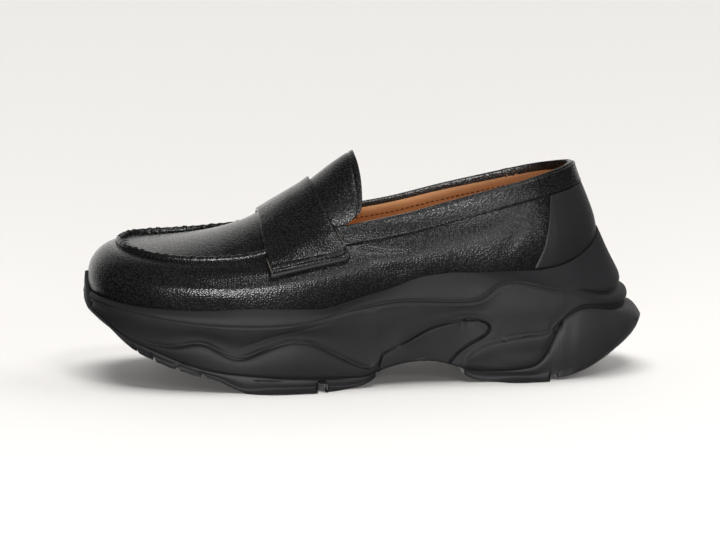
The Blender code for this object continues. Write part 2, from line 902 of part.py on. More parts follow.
def build_upper(material):
    """The hollow upper: side walls round the shoe, a raised seam, and the apron as far as the throat."""
    front = section_numbers(0, THROAT, 17)
    numbers = front + section_numbers(THROAT, HEEL, 19)[1:]
    places = around(numbers)
    shares = [0, 0.35, 0.7, 1, 1.2, 1.4, 1.6, 1.8, 2]
    apron = np.array(apron_rows(front))
    apron_in = apron - grid_normals(apron) * LEATHER_WALL
    outside, inside = [], []
    for place in places:
        n = section_of(place)
        wall = [wall_point(place, s) for s in shares]
        lining = [off_wall(place, s, -LEATHER_WALL) for s in shares]
        lining[0][2] = wall[0][2]
        edge, inward = wall[-1], -outward(EDGE, place)
        up = np.array([0, 0, 1.0])
        if n <= THROAT:
            row = front.index(n)
            lining[-1] = apron_in[row][0 if place <= HEEL else -1]
            rise = SEAM_HEIGHT * smooth_table(SEAM_FADE, n)
            rolls = (0.25, 0.75)
        else:
            rise = COLLAR_ROLL
            rolls = (0.3, 0.7)
        roll = [edge + inward * SEAM_WIDTH * r + up * rise for r in rolls]
        if n <= THROAT:
            roll.append(apron[front.index(n)][0 if place <= HEEL else -1])
        else:
            roll.append(lining[-1])
        outside.append(wall + roll)
        inside.append(lining)
    corners = []
    for side, behind in ((0, len(front)), (-1, len(places) - len(front))):
        collar = inside[behind][-1]
        corners.append([[apron[-1][side], apron_in[-1][side]], [collar, collar]])
    outside.append(outside[0])
    inside.append(inside[0])
    foot = [[a[0], b[0]] for a, b in zip(outside, inside)]
    grids = [outside, inside, foot, apron, apron_in, [apron[-1], apron_in[-1]], *corners]
    return add_solid("upper", grids, material)


def build_tongue(material):
    """The standing tongue, a thin arch that starts under the strap behind the apron."""
    across = np.linspace(-1, 1, 15)
    outside = []
    for step in np.linspace(0, 1, 7):
        row = []
        for v in across:
            rear = smooth_table(TONGUE_SWEEP, abs(v))
            length = TONGUE_LENGTHS[0] * (1 - step) + rear * step
            half, foot, crest = (smooth_table(TONGUE_ARCH, length, c) for c in (1, 2, 3))
            angle = v * math.pi / 2
            side = math.copysign(abs(math.sin(angle)) ** (2 / TONGUE_POWER), v)
            rise = abs(math.cos(angle)) ** (2 / TONGUE_POWER)
            row.append(np.array([length, TONGUE_CENTRE + half * side, foot + (crest - foot) * rise]))
        outside.append(row)
    outside = np.array(outside)
    inside = outside - grid_normals(outside) * 1.8
    sides = [
        [outside[0], inside[0]],
        [outside[-1], inside[-1]],
        [outside[:, 0], inside[:, 0]],
        [outside[:, -1], inside[:, -1]],
    ]
    return add_solid("tongue", [outside, inside, *sides], material)


def slab(name, outside, inside, material):
    """A thin closed piece between two grids of the same size."""
    outside, inside = np.array(outside), np.array(inside)
    rims = [
        [outside[0], inside[0]],
        [outside[-1], inside[-1]],
        [outside[:, 0], inside[:, 0]],
        [outside[:, -1], inside[:, -1]],
    ]
    return add_solid(name, [outside, inside, *rims], material)


def band_foot_share(place):
    """The share on the wall that lies the band's height below the collar."""
    edge = wall_point(place, 2)
    share = 2.0
    while share > 1 and np.linalg.norm(wall_point(place, share) - edge) < BAND_HEIGHT:
        share -= 0.01
    return share


def overlay_places(start):
    """Places round the heel, from a start on the outer side to its partner on the inner side."""
    numbers = [n for n in section_numbers(THROAT, HEEL, 19) if n > BAND_START[0] + 0.1]
    places = [start] + numbers
    return places + [ROUND - n for n in places[-2::-1]]


def build_collar_band(material):
    """The band along the collar; both its ends follow the rear edges of the strap."""
    low, high = BAND_START
    grids = []
    for gap in (OVERLAY_GAP, OVERLAY_GAP + BAND_THICKNESS):
        columns = []
        for t in (0, 0.5, 1):
            column = []
            for place in overlay_places(low + (high - low) * t):
                foot = band_foot_share(place)
                column.append(off_wall(place, foot + (2 - foot) * t, gap))
            columns.append(column)
        grids.append(columns)
    return slab("collar_band", grids[1], grids[0], material)


def build_counter(material):
    """The counter round the heel, from the sole's rim to the collar band."""
    rows_in, rows_out = [], []
    numbers = [n for n in section_numbers(THROAT, HEEL, 19) if n > COUNTER_HEAD]
    lead = [0, 0.5, 1]
    columns = lead[:-1] + [None] * (2 * len(numbers) - 1) + lead[-2::-1]
    for height in np.linspace(0, 1, 6):
        edge_number = COUNTER_FOOT + (COUNTER_HEAD - COUNTER_FOOT) * height
        front = [edge_number + (numbers[0] - edge_number) * t for t in lead[:-1]]
        half = front + numbers
        places = half + [ROUND - n for n in half[-2::-1]]
        row_in, row_out = [], []
        for place in places:
            foot = wall_share_at(place, smooth_table(SOLE_TOP, section_of(place)) + 0.8)
            head = band_foot_share(place) - 0.02
            share = foot + (head - foot) * height
            row_in.append(off_wall(place, share, OVERLAY_GAP))
            row_out.append(off_wall(place, share, OVERLAY_GAP + COUNTER_THICKNESS))
        rows_in.append(row_in)
        rows_out.append(row_out)
    assert len(columns) >= len(rows_in[0]) - 4
    return slab("heel_counter", rows_out, rows_in, material)


def strap_reach(trees, length, angle):
    """How far the shoe reaches from the strap's axis, in a cross-section at a length and an angle."""
    y, z = STRAP_AXIS
    direction = Vector((0, math.sin(angle), math.cos(angle)))
    axis = Vector((np.array((length, y, z)) - ORIGIN) * MM)
    start = axis + direction * 0.12
    reach = 0.0
    for tree in trees:
        hit = tree.ray_cast(start, -direction, 0.12)
        if hit[0]:
            reach = max(reach, (hit[0] - axis).length / MM)
    return reach


def taut(angles, reach):
    """The reach of a strap that is pulled tight over hollows: the hull of a cross-section, seen from the axis."""
    spots = [(r * math.sin(a), r * math.cos(a)) for a, r in zip(angles, reach)]
    hull = []
    for spot in spots:
        while len(hull) > 1:
            (x0, z0), (x1, z1) = hull[-2], hull[-1]
            if (x1 - x0) * (spot[1] - z0) - (z1 - z0) * (spot[0] - x0) >= 0:
                hull.pop()
            else:
                break
        hull.append(spot)
    result = []
    for a, r in zip(angles, reach):
        ray = (math.sin(a), math.cos(a))
        best = r
        for (x0, z0), (x1, z1) in zip(hull, hull[1:]):
            across = ray[0] * (z1 - z0) - ray[1] * (x1 - x0)
            if abs(across) < 1e-9:
                continue
            distance = (x0 * (z1 - z0) - z0 * (x1 - x0)) / across
            part = (ray[0] * distance - x0) * (x1 - x0) + (ray[1] * distance - z0) * (z1 - z0)
            if 0 <= part <= (x1 - x0) ** 2 + (z1 - z0) ** 2:
                best = max(best, distance)
        result.append(best)
    return result


def build_strap(material, supports):
    """The saddle strap, laid over the apron, the tongue and the quarters."""
    graph = bpy.context.evaluated_depsgraph_get()
    trees = [BVHTree.FromObject(o, graph) for o in supports]
    places = np.linspace(0, 1, 35)
    shares = np.linspace(0, 1, 7)
    spots = np.zeros((len(places), len(shares), 2))
    for i, place in enumerate(places):
        front_angle, rear_angle, front, rear = (smooth_table(STRAP_GIRTH, place, c) for c in (1, 2, 3, 4))
        spots[i, :, 0] = front + (rear - front) * shares
        spots[i, :, 1] = np.radians(front_angle + (rear_angle - front_angle) * shares)
    plain = np.array([[strap_reach(trees, *spot) for spot in row] for row in spots])
    for i, j in np.argwhere(plain == 0):
        plain[i, j] = (plain[i - 1, j] + plain[i + 1, j]) / 2
    reach = plain.copy()
    for i in range(len(places)):
        step = spots[i, 1, 0] - spots[i, 0, 0]
        lean = (plain[i, -1] - plain[i, 0]) / (spots[i, -1, 0] - spots[i, 0, 0])
        low, high = max(i - 2, 0), min(i + 2, len(places) - 1)
        for j, (length, angle) in enumerate(spots[i]):
            turn = (plain[high, j] - plain[low, j]) / (spots[high, j, 1] - spots[low, j, 1])
            for ds in (-0.5 * step, -0.25 * step, 0, 0.25 * step, 0.5 * step):
                for da in (-0.05, 0, 0.05):
                    near = strap_reach(trees, length + ds, angle + da)
                    reach[i, j] = max(reach[i, j], near - lean * ds - turn * da)
    for j in range(len(shares)):
        reach[:, j] = taut(spots[:, j, 1], reach[:, j])
    y, z = STRAP_AXIS
    grids = []
    for gap in (STRAP_GAP, STRAP_GAP + STRAP_THICKNESS):
        r = reach + gap
        angle = spots[:, :, 1]
        grids.append(np.stack((spots[:, :, 0], y + r * np.sin(angle), z + r * np.cos(angle)), axis=2))
    return slab("saddle_strap", grids[1], grids[0], material)


def build_insole(material):
    """The sock that covers the footbed, inside the upper's wall."""
    numbers = section_numbers(0, HEEL, 30)
    rows = []
    for rise, inset in ((SLIP_GAP, 0.8), (INSOLE_THICKNESS - 0.8, 0.5), (INSOLE_THICKNESS, 1.6)):
        row = []
        for place in around(numbers):
            point = wall_point(place, 0) - outward(BELLY, place) * (LEATHER_WALL + SLIP_GAP + inset)
            point[2] += rise
            row.append(point)
        rows.append(row + row[:1])
    grids = [rows]
    for row in (rows[0], rows[-1]):
        outer, inner = halves(row[:-1], numbers)
        grids.append(ladder(outer, inner, 2))
    return add_solid("insole", grids, material)


def main():
    for obj in list(bpy.data.objects):
        bpy.data.objects.remove(obj)
    material = {name: make_material(name) for name in MATERIALS}
    build_midsole(material["rubber"])
    build_front_tread(material["tread_rubber"])
    build_heel_tread(material["tread_rubber"])
    build_insole(material["tan_leather"])
    upper = build_upper(material["leather"])
    tongue = build_tongue(material["leather"])
    build_collar_band(material["smooth_leather"])
    build_counter(material["smooth_leather"])
    bpy.context.view_layer.update()
    build_strap(material["leather"], (upper, tongue))


main()
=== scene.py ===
import math

import bpy
import numpy as np
from mathutils import Matrix, Vector
from mathutils.bvhtree import BVHTree
from mathutils.kdtree import KDTree


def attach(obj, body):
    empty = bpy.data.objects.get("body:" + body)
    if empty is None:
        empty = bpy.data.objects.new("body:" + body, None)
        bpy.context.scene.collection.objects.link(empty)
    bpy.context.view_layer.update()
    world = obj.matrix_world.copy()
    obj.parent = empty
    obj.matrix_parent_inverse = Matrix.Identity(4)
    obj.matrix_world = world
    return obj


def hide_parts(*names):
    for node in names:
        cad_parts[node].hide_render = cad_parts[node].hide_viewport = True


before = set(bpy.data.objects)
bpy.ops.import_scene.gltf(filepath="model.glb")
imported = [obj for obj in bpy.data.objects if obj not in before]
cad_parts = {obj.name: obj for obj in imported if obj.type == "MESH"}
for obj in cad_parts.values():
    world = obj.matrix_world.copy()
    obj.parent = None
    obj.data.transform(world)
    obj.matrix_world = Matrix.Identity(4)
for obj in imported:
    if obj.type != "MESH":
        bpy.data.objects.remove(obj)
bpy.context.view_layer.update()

# The tables are in the shoe's own millimetres: length from the toe tip, side (the outer side is
# negative) and height from the floor. These two numbers move them to the frame.
TOE_TIP = 160.65
SIDE_SHIFT = 2.2

OUTER, INNER = -1, 1
SIDES = ((OUTER, "outer"), (INNER, "inner"))
MERGE_DISTANCE = 0.00001
SKIN_LEVELS = 2
# No relief reaches further than this from the line that it follows.
REACH = 14.0


def to_frame(points):
    points = np.asarray(points, float)
    return (points + (-TOE_TIP, SIDE_SHIFT, 0)) / 1000


def to_shoe(points):
    return np.asarray(points, float) * 1000 + (TOE_TIP, -SIDE_SHIFT, 0)


# Modelling helpers.


def choose(*pieces):
    """Makes these the only selected pieces, the first of them active."""
    if bpy.context.object and bpy.context.object.mode != "OBJECT":
        bpy.ops.object.mode_set(mode="OBJECT")
    bpy.ops.object.select_all(action="DESELECT")
    for piece in pieces:
        piece.select_set(True)
    bpy.context.view_layer.objects.active = pieces[0]


def edit(piece, kind="VERT"):
    """Opens a piece in edit mode with nothing selected."""
    choose(piece)
    bpy.ops.object.mode_set(mode="EDIT")
    bpy.ops.mesh.select_mode(type=kind)
    bpy.ops.mesh.select_all(action="DESELECT")


def leave():
    bpy.ops.object.mode_set(mode="OBJECT")


def smooth_skin(piece, levels):
    """Subdivides a piece into a smooth skin, which is then its own mesh."""
    choose(piece)
    modifier = piece.modifiers.new("Skin", "SUBSURF")
    modifier.levels = modifier.render_levels = levels
    modifier.boundary_smooth = "ALL"
    bpy.ops.object.modifier_apply(modifier=modifier.name)


def points_of(piece):
    """The piece's corners in the shoe's millimetres."""
    points = np.empty(len(piece.data.vertices) * 3, np.float32)
    piece.data.vertices.foreach_get("co", points)
    return to_shoe(points.reshape(-1, 3))


def normals_of(piece):
    normals = np.empty(len(piece.data.vertices) * 3, np.float32)
    piece.data.vertices.foreach_get("normal", normals)
    return normals.reshape(-1, 3).astype(float)


def put(piece, points):
    """Moves the piece's corners to these places, in the shoe's millimetres."""
    piece.data.vertices.foreach_set("co", to_frame(points).astype(np.float32).ravel())
    piece.data.update()


def centres_of(piece):
    """The middles of the piece's faces, and their directions out."""
    centres = np.empty(len(piece.data.polygons) * 3, np.float32)
    normals = np.empty(len(piece.data.polygons) * 3, np.float32)
    piece.data.polygons.foreach_get("center", centres)
    piece.data.polygons.foreach_get("normal", normals)
    return to_shoe(centres.reshape(-1, 3)), normals.reshape(-1, 3).astype(float)


def select_faces(piece, wanted):
    """Faces picked by their place or normal, left selected in edit mode."""
    edit(piece, "FACE")
    leave()
    piece.data.polygons.foreach_set("select", np.asarray(wanted, bool))
    bpy.ops.object.mode_set(mode="EDIT")


def split_off(piece, wanted, name):
    """Parts the wanted faces from a piece and gives them back as a piece of their own."""
    select_faces(piece, wanted)
    bpy.ops.mesh.separate(type="SELECTED")
    leave()
    part = [o for o in bpy.context.selected_objects if o != piece][0]
    part.name = part.data.name = name
    return part


def even_out(piece, wanted, share, repeats):
    """Smooths the wanted corners of a piece."""
    edit(piece)
    leave()
    piece.data.vertices.foreach_set("select", wanted)
    bpy.ops.object.mode_set(mode="EDIT")
    bpy.ops.mesh.vertices_smooth(factor=share, repeat=repeats)
    leave()


def from_node(node, name, hold, sharp=50):
    """A copy of a CAD node, merged to quads and subdivided into a smooth piece."""
    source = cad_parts[node]
    piece = bpy.data.objects.new(name, source.data.copy())
    piece.data.name = name
    bpy.context.scene.collection.objects.link(piece)
    edit(piece)
    bpy.ops.mesh.select_all(action="SELECT")
    bpy.ops.mesh.remove_doubles(threshold=MERGE_DISTANCE)
    bpy.ops.mesh.tris_convert_to_quads(face_threshold=math.radians(35), shape_threshold=math.radians(70))
    bpy.ops.mesh.select_all(action="DESELECT")
    bpy.ops.mesh.select_mode(type="EDGE")
    bpy.ops.mesh.edges_select_sharp(sharpness=math.radians(sharp))
    bpy.ops.transform.edge_crease(value=hold)
    leave()
    hold_corners(piece)
    smooth_skin(piece, SKIN_LEVELS)
    return piece


def hold_corners(piece, rounds=3):
    """Moves a coarse piece's corners out, so that the smooth skin over it passes through where they were."""
    wanted = points_of(piece)
    trial = piece.copy()
    bpy.context.scene.collection.objects.link(trial)
    for _ in range(rounds):
        trial.data = piece.data.copy()
        smooth_skin(trial, 1)
        put(piece, points_of(piece) + wanted - points_of(trial)[:len(wanted)])
    bpy.data.objects.remove(trial)


def finish_piece(piece, material, slot, *nodes, angle=None):
    """Shades a piece, gives it its material, hangs it under the root body and hides the CAD nodes that it
    replaces.
    """
    choose(piece)
    bpy.ops.object.shade_smooth()
    if angle:
        bpy.ops.object.shade_smooth_by_angle(angle=math.radians(angle))
    piece.data.materials.clear()
    piece.data.materials.append(material)
    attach(piece, "root")
    if nodes:
        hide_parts(*nodes)


def skin_of(piece):
    """The piece's surface, for rays."""
    mesh = piece.data
    return BVHTree.FromPolygons([v.co for v in mesh.vertices], [tuple(p.vertices) for p in mesh.polygons])


def cast(skin, starts, ways):
    """Sends a ray from each start: the points that are hit and the surface's directions out."""
    points, outs = [], []
    for start, way in zip(starts, ways):
        hit, out, _, _ = skin.ray_cast(Vector(to_frame(start)), Vector(way))
        if hit:
            points.append(to_shoe(hit))
            outs.append(np.array(out))
    return np.array(points), np.array(outs)


def drop(skin, line, side):
    """Lays a line drawn on the side view onto the surface."""
    starts = [(length, side * 90, height) for length, height in line]
    return cast(skin, starts, [(0, -side, 0)] * len(starts))


def close_in(skin, path):
    """Lays a line that runs round the shoe onto the surface, from outside."""
    inward = np.column_stack([towards_middle(path), np.zeros(len(path))])
    return cast(skin, path - inward * 25, inward)


def press_out(skin, path):
    """Lays a line that runs round the shoe onto the surface, from inside."""
    inward = np.column_stack([towards_middle(path), np.zeros(len(path))])
    return cast(skin, path + inward * 18, -inward)


def towards_middle(points):
    """Level directions from points to the shoe's middle line."""
    middle = np.stack([np.clip(points[:, 0], 60, 240), np.zeros(len(points))], axis=1)
    inward = middle - points[:, :2]
    return inward / np.maximum(np.linalg.norm(inward, axis=1, keepdims=True), 1e-6)


def stitch_shape(length, width, height):
    """One stitch, a flat bead along x."""
    bpy.ops.object.select_all(action="DESELECT")
    bpy.ops.mesh.primitive_uv_sphere_add(segments=8, ring_count=6, radius=0.0005)
    bead = bpy.context.object
    bpy.ops.object.mode_set(mode="EDIT")
    bpy.ops.transform.rotate(value=math.pi / 2, orient_axis="Y", center_override=(0, 0, 0))
    bpy.ops.transform.resize(value=(length, width, height), center_override=(0, 0, 0))
    leave()
    return bead


def sew(name, bead, runs, pitch, material, slot, sink=0.0, slant=0.0):
    """Copies a stitch along lines on the surface and joins the row into one piece."""
    copies = []
    for points, outs in runs:
        length = np.concatenate([[0], np.cumsum(np.linalg.norm(np.diff(points, axis=0), axis=1))])
        count = max(2, int(length[-1] / pitch))
        for at in np.linspace(pitch / 2, length[-1] - pitch / 2, count):
            spot = np.array([np.interp(at, length, points[:, k]) for k in range(3)])
            ahead = [np.interp(at + 0.5, length, points[:, k]) - np.interp(at - 0.5, length, points[:, k])
                     for k in range(3)]
            out = Vector([np.interp(at, length, outs[:, k]) for k in range(3)]).normalized()
            along = Vector(ahead).normalized()
            across = out.cross(along).normalized()
            along = across.cross(out)
            turn = Matrix((along, across, out)).transposed().to_4x4() @ Matrix.Rotation(slant, 4, "Z")
            place = Vector(to_frame(spot)) - out * sink / 1000
            mesh = bead.data.copy()
            mesh.transform(Matrix.Translation(place) @ turn)
            copy = bpy.data.objects.new(name, mesh)
            bpy.context.scene.collection.objects.link(copy)
            copies.append(copy)
    bpy.data.objects.remove(bead)
    choose(*copies)
    bpy.ops.object.join()
    row = bpy.context.object
    row.name = row.data.name = name
    finish_piece(row, material, slot)


def smooth_path(points, spacing=0.5):
    """A Catmull-Rom line through the points, cut into short equal steps."""
    points = np.asarray(points, float)
    ends = np.vstack([2 * points[0] - points[1], points, 2 * points[-1] - points[-2]])
    fine = []
    for a, b, c, d in zip(ends, ends[1:], ends[2:], ends[3:]):
        t = np.linspace(0, 1, 24, endpoint=False)[:, None]
        bend, twist = 2 * a - 5 * b + 4 * c - d, 3 * b - a - 3 * c + d
        fine.append(0.5 * (2 * b + (c - a) * t + bend * t**2 + twist * t**3))
    fine = np.vstack(fine + [points[-1:]])
    length = np.concatenate([[0], np.cumsum(np.linalg.norm(np.diff(fine, axis=0), axis=1))])
    steps = max(2, int(round(length[-1] / spacing)) + 1)
    at = np.linspace(0, length[-1], steps)
    return np.stack([np.interp(at, length, fine[:, k]) for k in range(points.shape[1])], axis=1)


def from_line(places, line):
    """For each place its distance from the line, with a sign, and how far along the line it lies, 0 to 1."""
    away = np.full(len(places), 1e3)
    along = np.zeros(len(places))
    low, high = line.min(0) - REACH, line.max(0) + REACH
    near = np.nonzero(np.all((places > low) & (places < high), axis=1))[0]
    tangent = np.gradient(line, axis=0)
    tangent /= np.linalg.norm(tangent, axis=1, keepdims=True)
    for part in np.array_split(near, max(1, len(near) // 4000)):
        if not len(part):
            continue
        gaps = places[part, None] - line[None]
        best = np.argmin((gaps**2).sum(2), axis=1)
        gap = gaps[np.arange(len(part)), best]
        side = tangent[best, 0] * gap[:, 1] - tangent[best, 1] * gap[:, 0]
        away[part] = np.copysign(np.linalg.norm(gap, axis=1), side)
        along[part] = best / (len(line) - 1)
    return away, along


def ease(x, low, high):
    """0 to 1 as x goes from low to high, with soft ends."""
    t = np.clip((np.asarray(x, float) - low) / (high - low), 0, 1)
    return t * t * (3 - 2 * t)


def ends_fade(along, first, last):
    """1 along a line, and 0 at its ends."""
    return ease(along, 0, first) * (1 - ease(along, 1 - last, 1))


def bump_of(away, width):
    """A round ridge: 1 on the line, 0 well away from it."""
    return np.exp(-((away / width) ** 2))


# Materials.


class Wire:
    """An output of a material's node, with plain arithmetic."""

    def __init__(self, finish, socket):
        self.finish, self.socket = finish, socket

    def _math(self, operation, first, second):
        return self.finish.node("ShaderNodeMath", {"operation": operation}, in0=first, in1=second)

    def __add__(self, other):
        return self._math("ADD", self, other)

    __radd__ = __add__

    def __sub__(self, other):
        return self._math("SUBTRACT", self, other)

    def __rsub__(self, other):
        return self._math("SUBTRACT", other, self)

    def __mul__(self, other):
        return self._math("MULTIPLY", self, other)

    __rmul__ = __mul__


class Finish:
    """One material under construction."""

    def __init__(self, name):
        self.material = bpy.data.materials.new(name)
        self.material.use_nodes = True
        self.tree = self.material.node_tree
        self.shader = self.tree.nodes["Principled BSDF"]
        self.place = self.node("ShaderNodeTexCoord", output="Object")

    def node(self, kind, settings=None, output=None, **inputs):
        """Adds a node: its settings, then the values or links of its sockets, by name or as in0, in1."""
        made = self.tree.nodes.new(kind)
        for name, value in (settings or {}).items():
            setattr(made, name, value)
        for name, value in inputs.items():
            if name.startswith("in") and name[2:].isdigit():
                socket = made.inputs[int(name[2:])]
            else:
                socket = made.inputs[name.replace("_", " ")]
            if isinstance(value, Wire):
                self.tree.links.new(value.socket, socket)
            else:
                socket.default_value = value
        return Wire(self, made.outputs[output] if output else made.outputs[0])

    def noise(self, scale, detail, rough=0.5):
        return self.node("ShaderNodeTexNoise", output=0, Vector=self.place, Scale=scale, Detail=detail,
                         Roughness=rough)

    def between(self, low, high, value):
        """0 to 1 as value goes from low to high."""
        return self.node("ShaderNodeMapRange", {"interpolation_type": "SMOOTHSTEP"}, output=0,
                         Value=value, From_Min=low, From_Max=high)

    def blend(self, first, second, share):
        return self.node("ShaderNodeMix", {"data_type": "RGBA"}, output=2,
                         in0=share, in6=(*first, 1), in7=(*second, 1))

    def shake(self, scale, amount):
        """The place, pushed about by noise so that a pattern loses its evenness."""
        cloud = self.node("ShaderNodeTexNoise", output=1, Vector=self.place, Scale=scale, Detail=1.0)
        centred = self.node("ShaderNodeVectorMath", {"operation": "SUBTRACT"}, in0=cloud, in1=(0.5, 0.5, 0.5))
        pushed = self.node("ShaderNodeVectorMath", {"operation": "MULTIPLY"}, in0=centred, in1=(amount,) * 3)
        return self.node("ShaderNodeVectorMath", {"operation": "ADD"}, in0=self.place, in1=pushed)

    def raised(self, height, distance):
        return self.node("ShaderNodeBump", Height=height, Distance=distance, Strength=1.0)

    def set(self, **inputs):
        """Fills the shader's sockets and gives the material back."""
        for name, value in inputs.items():
            socket = self.shader.inputs[name.replace("_", " ")]
            if isinstance(value, Wire):
                self.tree.links.new(value.socket, socket)
            else:
                socket.default_value = (*value, 1) if isinstance(value, tuple) else value
        return self.material


def pebbled_leather(name, pebble, depth, dark, light, rough):
    """Leather with round pebbles: their size and height in mm, and the colours between them and on them; the
    darker valleys are painted shade.
    """
    f = Finish(name)
    scale = 1000 / pebble
    warped = f.shake(scale * 0.3, pebble / 1000 * 0.1)
    cell = f.node("ShaderNodeTexVoronoi", {"feature": "F1"}, output="Distance",
                  Vector=warped, Scale=scale, Randomness=0.75)
    dome = 1 - f.between(0.05, 0.75, cell)
    height = dome + f.noise(scale * 0.4, 1) * 0.1
    patch = f.noise(28, 3)
    # Painted shade: the colour darkens from each pebble's top into the valleys between the pebbles, mixed
    # with a random patchy tone.
    shade = f.blend(dark, light, dome * 0.75 + patch * 0.25)
    rough_map = rough + (1 - dome) * 0.12 + (patch - 0.5) * 0.08
    return f.set(Base_Color=shade, Roughness=rough_map, Specular_IOR_Level=0.5,
                 Normal=f.raised(height, depth / 1000))


def tan_leather(name, colour):
    f = Finish(name)
    patch = f.noise(30, 4)
    grain = f.noise(1400, 3)
    shade = f.blend(tuple(c * 0.82 for c in colour), tuple(min(1, c * 1.15) for c in colour), patch)
    return f.set(Base_Color=shade, Roughness=0.46 + (grain - 0.5) * 0.1,
                 Normal=f.raised(grain * 0.6 + f.noise(300, 2), 0.00006))


def moulded_rubber(name, colour, rough):
    f = Finish(name)
    patch = f.noise(22, 4)
    fine = f.noise(2600, 2)
    shade = f.blend(tuple(c * 0.88 for c in colour), tuple(c * 1.14 for c in colour), patch)
    rub = f.noise(160, 5, 0.65)
    return f.set(Base_Color=shade, Roughness=rough + (patch - 0.5) * 0.12 + (rub - 0.5) * 0.1,
                 Specular_IOR_Level=0.4, Normal=f.raised(fine + rub * 0.5, 0.00005))


def plain_thread(name, colour, rough):
    f = Finish(name)
    twist = f.noise(2400, 2)
    return f.set(Base_Color=f.blend(tuple(c * 0.7 for c in colour), colour, twist), Roughness=rough,
                 Normal=f.raised(twist, 0.00008))


# In both leathers the dark colour is painted shade in the valleys between the pebbles, and the light colour
# is on the pebbles' tops.
GRAINED = pebbled_leather("black pebbled leather", pebble=1.3, depth=0.1, rough=0.2,
                          dark=(0.0022, 0.0021, 0.0022), light=(0.0165, 0.0156, 0.0153))
SMOOTHER = pebbled_leather("black fine grained leather", pebble=0.95, depth=0.06, rough=0.42,
                           dark=(0.010, 0.010, 0.0105), light=(0.017, 0.017, 0.0175))
LINING = tan_leather("tan lining leather", (0.68, 0.37, 0.175))
SOLE = moulded_rubber("charcoal moulded rubber", (0.0118, 0.0111, 0.0124), 0.6)
TREAD = moulded_rubber("charcoal tread rubber", (0.0185, 0.0175, 0.019), 0.55)
BLACK_THREAD = plain_thread("black waxed thread", (0.012, 0.012, 0.0125), 0.6)
CUT_EDGE = plain_thread("rubbed leather edge", (0.10, 0.088, 0.075), 0.5)
BROWN_THREAD = plain_thread("brown lining thread", (0.12, 0.045, 0.016), 0.55)

# The sole.


SOFT_RIDGE = ((30.9, 43.1), (54.5, 39.3), (78.2, 36.8), (97.2, 36.2), (116.4, 37.2), (132.8, 40.4))
FAINT_CREASE = ((137.6, 38.4), (118, 34), (102, 30.5), (87.5, 25.4), (80.9, 23.6), (78, 22.7))
WAVE = ((8.8, 41.3), (21.4, 31.4), (35.4, 26.7), (49.6, 25.6), (59.1, 27.5), (66.7, 27.1), (73.3, 23.5),
        (80.9, 19.5), (87.5, 19.3), (97.1, 23.0), (111.5, 27.6), (121.1, 27.2), (127.1, 25.9), (136.9, 20.7),
        (146.8, 15.5), (154.7, 11.7), (162.7, 9.8))
LONG_RIDGE = ((133.5, 40.7), (146.6, 44.6), (172.6, 48.1), (185.7, 48.1), (198.8, 47.3), (211.9, 46.9),
              (218.5, 47.5), (223.1, 48.9), (230.7, 54.8), (236.2, 56.8), (241.5, 57.1), (250, 55.6),
              (261.6, 52.9), (273.3, 50.8), (282.2, 50.3))
ARCH_PANEL = ((163.8, 8.9), (166.1, 17.6), (168.2, 18.9), (179.8, 24), (192.8, 30.9), (205.7, 34.5),
              (215.5, 35.7), (222.5, 34.7), (226.3, 32.7), (226.7, 29.6), (223.3, 25.9), (215.8, 21.5),
              (209.7, 16.9), (205.1, 11.6))
REAR_GROOVE = ((279, 51), (282.2, 50.3), (292.1, 47.5), (298.9, 46), (307, 49.2))
HEEL_BULGE = ((209.8, 10.6), (219.7, 18.8), (227.3, 22.5), (234.9, 24.4), (246.3, 26), (257.7, 27.3),
              (263.9, 30.2))


def side_relief(piece, lines):
    """Raises and sinks the side walls along lines drawn on the shoe's side view."""
    points, normals = points_of(piece), normals_of(piece)
    wall = ease(np.hypot(normals[:, 0], normals[:, 1]), 0.35, 0.7)
    moved = np.zeros(len(points))
    for line, shape in lines:
        away, along = from_line(points[:, [0, 2]], smooth_path(line))
        moved += shape(away, along) * (np.abs(away) < REACH)
    put(piece, points + normals * (moved * wall)[:, None])


def cut_finer(piece, wanted, cuts):
    """Cuts the wanted faces of a piece into smaller ones."""
    select_faces(piece, wanted)
    bpy.ops.mesh.subdivide(number_cuts=cuts)
    leave()


def refine(piece, lines, reach):
    """Cuts the wall's faces finer near the lines."""
    centres, normals = centres_of(piece)
    wanted = np.zeros(len(centres), bool)
    for line in lines:
        away, _ = from_line(centres[:, [0, 2]], smooth_path(line, 1.0))
        wanted |= np.abs(away) < reach
    cut_finer(piece, wanted & (np.abs(normals[:, 2]) < 0.8), 1)


midsole = from_node("midsole", "midsole_rubber", sharp=55, hold=0.5)
# The wall between the arch panel and the heel is evened out; its lines are pressed into it afterwards.
points, normals = points_of(midsole), normals_of(midsole)
length, side, height = points.T
cup_front = np.interp(height, (13, 20, 27, 39), (254, 257, 260, 266))
even = (np.abs(side) > 16) & (np.abs(normals[:, 2]) < 0.85) & (height > 14) & (height < 39)
even &= (length > 176) & (length < cup_front)
even_out(midsole, even, 0.6, 90)
refine(midsole, (LONG_RIDGE, ARCH_PANEL, FAINT_CREASE, HEEL_BULGE, WAVE), 3.2)
refine(midsole, (LONG_RIDGE, ARCH_PANEL), 1.8)
refine(midsole, (ARCH_PANEL,), 1.1)


def double_ridge(away, along):
    """Two fine ridges side by side with a groove between them."""
    ridges = 0.4 * bump_of(away, 0.45) + 0.3 * bump_of(away + 2.5, 0.5)
    return (ridges - 0.35 * bump_of(away + 1.25, 0.5)) * ends_fade(along, 0.1, 0.15)


def panel_gap(away, along):
    """The deep gap round the arch panel, with a faint lip above its rear half."""
    return -2.4 * bump_of(away, 0.5) + 0.25 * bump_of(away - 4.5, 0.7) * ease(along, 0.35, 0.5)


def heel_swelling(away, along):
    """A swelling below the line with a fine groove above it."""
    swelling = 1.3 * ease(-away, -0.3, 1.8) * (1 - ease(-away, 2.5, 12))
    return (swelling - 0.3 * bump_of(away - 0.6, 0.6)) * ends_fade(along, 0.15, 0.06)


